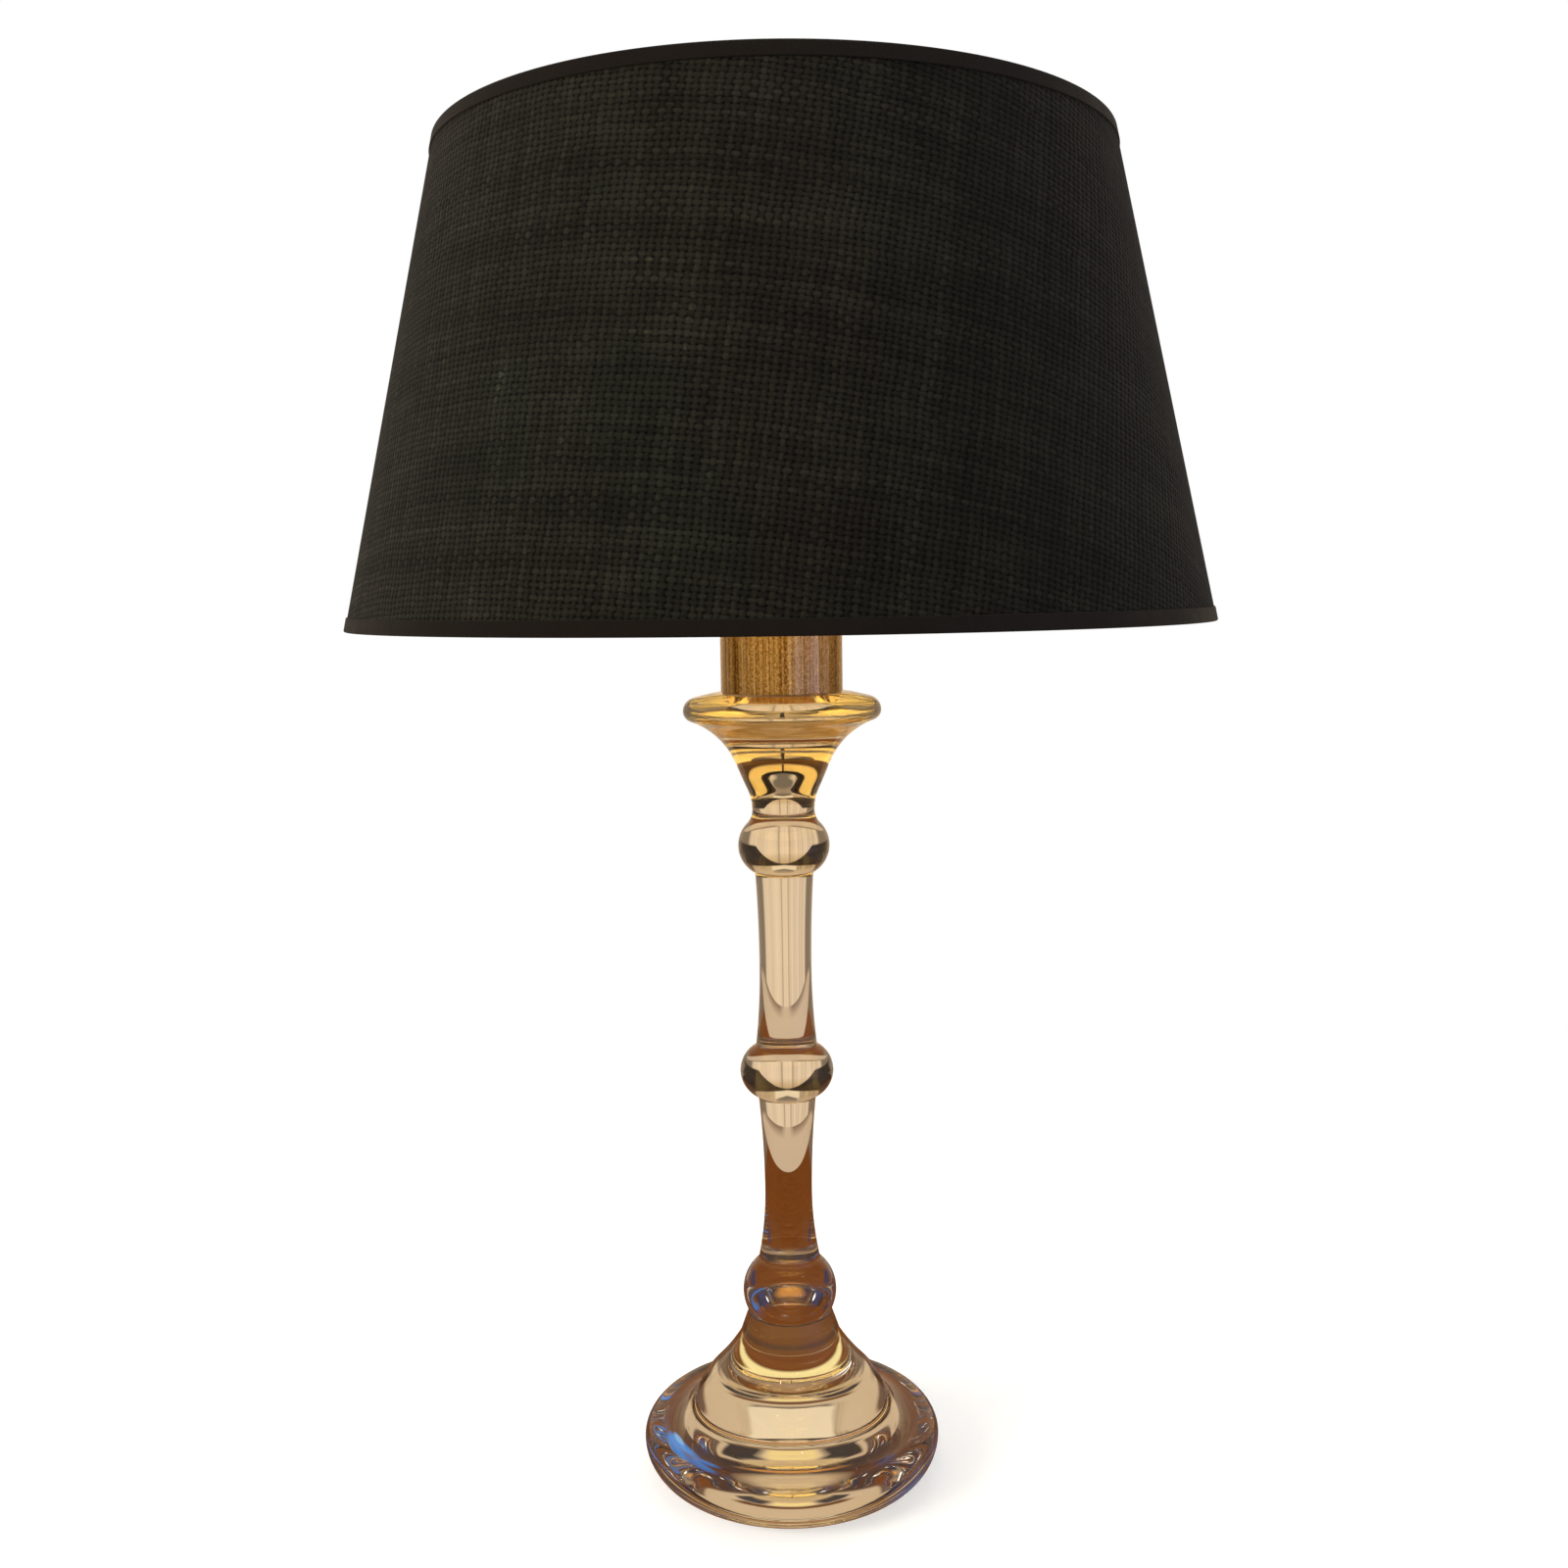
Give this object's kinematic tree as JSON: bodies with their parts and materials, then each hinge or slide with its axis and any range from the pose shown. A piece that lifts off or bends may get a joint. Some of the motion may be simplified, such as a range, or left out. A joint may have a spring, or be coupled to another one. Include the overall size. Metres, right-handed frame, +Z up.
{
  "type": "table lamp",
  "caption": "Table lamp: turned solid crystal baluster on a round foot, brass socket cup, screw bulb and a dark woven empire shade on a wire carrier.",
  "frame": {"origin": "on the table, under the lamp's axis, at the middle of the foot's ground ring", "axes": "+Z up along the lamp's axis, -Y towards the viewer of the picture, +Y towards the cord inlet"},
  "size_m": [0.3513, 0.3514, 0.5569],
  "materials": {
    "crystal": "polished solid crystal with a warm cast",
    "brushed_brass": "brushed along the axis, lightly toned",
    "plain_brass": "bright turned",
    "clear_seal": "clear bonding layer",
    "black_bush": "moulded matte",
    "black_moulding": "moulded semi-gloss",
    "zinc_steel": "zinc plated",
    "porcelain": "white glazed",
    "bulb_glass": "clear blown",
    "bulb_metal": "nickel plated, rolled thread",
    "black_glass": "fused black glass",
    "light_rod": "glowing phosphor coat",
    "black_wire": "satin powder coat",
    "gold_lining": "brushed gold film",
    "shade_cloth": "coarse plain weave",
    "binding_cloth": "smooth folded tape"
  },
  "bodies": {
    "lamp": {"glass_base": "crystal", "bond_layer": "clear_seal", "base_plate": "plain_brass", "brass_cup": "brushed_brass", "cord_bush": "black_bush", "threaded_nipple": "zinc_steel", "lock_washer": "zinc_steel", "nipple_nut": "plain_brass", "holder_cap": "black_moulding", "holder_locking_screw": "zinc_steel", "holder_core": "porcelain", "terminal_screws": "zinc_steel", "centre_contact": "plain_brass", "side_contacts": "plain_brass", "holder_shell": "black_moulding", "shade_ring_lower": "black_moulding"},
    "clamp_ring": {"shade_ring_upper": "black_moulding"},
    "shade": {"fitter_ring": "black_wire", "spider_arms": "black_wire", "bottom_ring": "black_wire", "top_ring": "black_wire", "shade_lining": "gold_lining", "shade_fabric": "shade_cloth", "bottom_binding": "binding_cloth", "top_binding": "binding_cloth"},
    "bulb_foot": {"bulb_eyelet": "zinc_steel", "bulb_insulator": "black_glass"},
    "bulb": {"bulb_cap": "bulb_metal", "bulb_globe": "bulb_glass", "bulb_stem": "bulb_glass", "bulb_filaments": "light_rod", "filament_supports": "zinc_steel"}
  },
  "joints": [
    {"name": "shade_turn", "type": "hinge", "parent": "lamp", "child": "shade", "pos_m": [0, 0, 0.42], "axis": [0, 0, 1], "continuous": true},
    {"name": "ring_turn", "type": "hinge", "parent": "lamp", "child": "clamp_ring", "pos_m": [0, 0, 0.42], "axis": [0, 0, 1], "range_deg": [0, 360]},
    {"name": "bulb_lift", "type": "slide", "parent": "lamp", "child": "bulb_foot", "axis": [0, 0, 1], "range_m": [0, 0.01814]},
    {"name": "bulb_turn", "type": "hinge", "parent": "bulb_foot", "child": "bulb", "pos_m": [0, 0, 0.42], "axis": [0, 0, 1], "range_deg": [0, 1800]}
  ],
  "couplings": [
    {"joint": "bulb_turn", "follows": "bulb_lift", "rad_per_m": 1731.4}
  ]
}
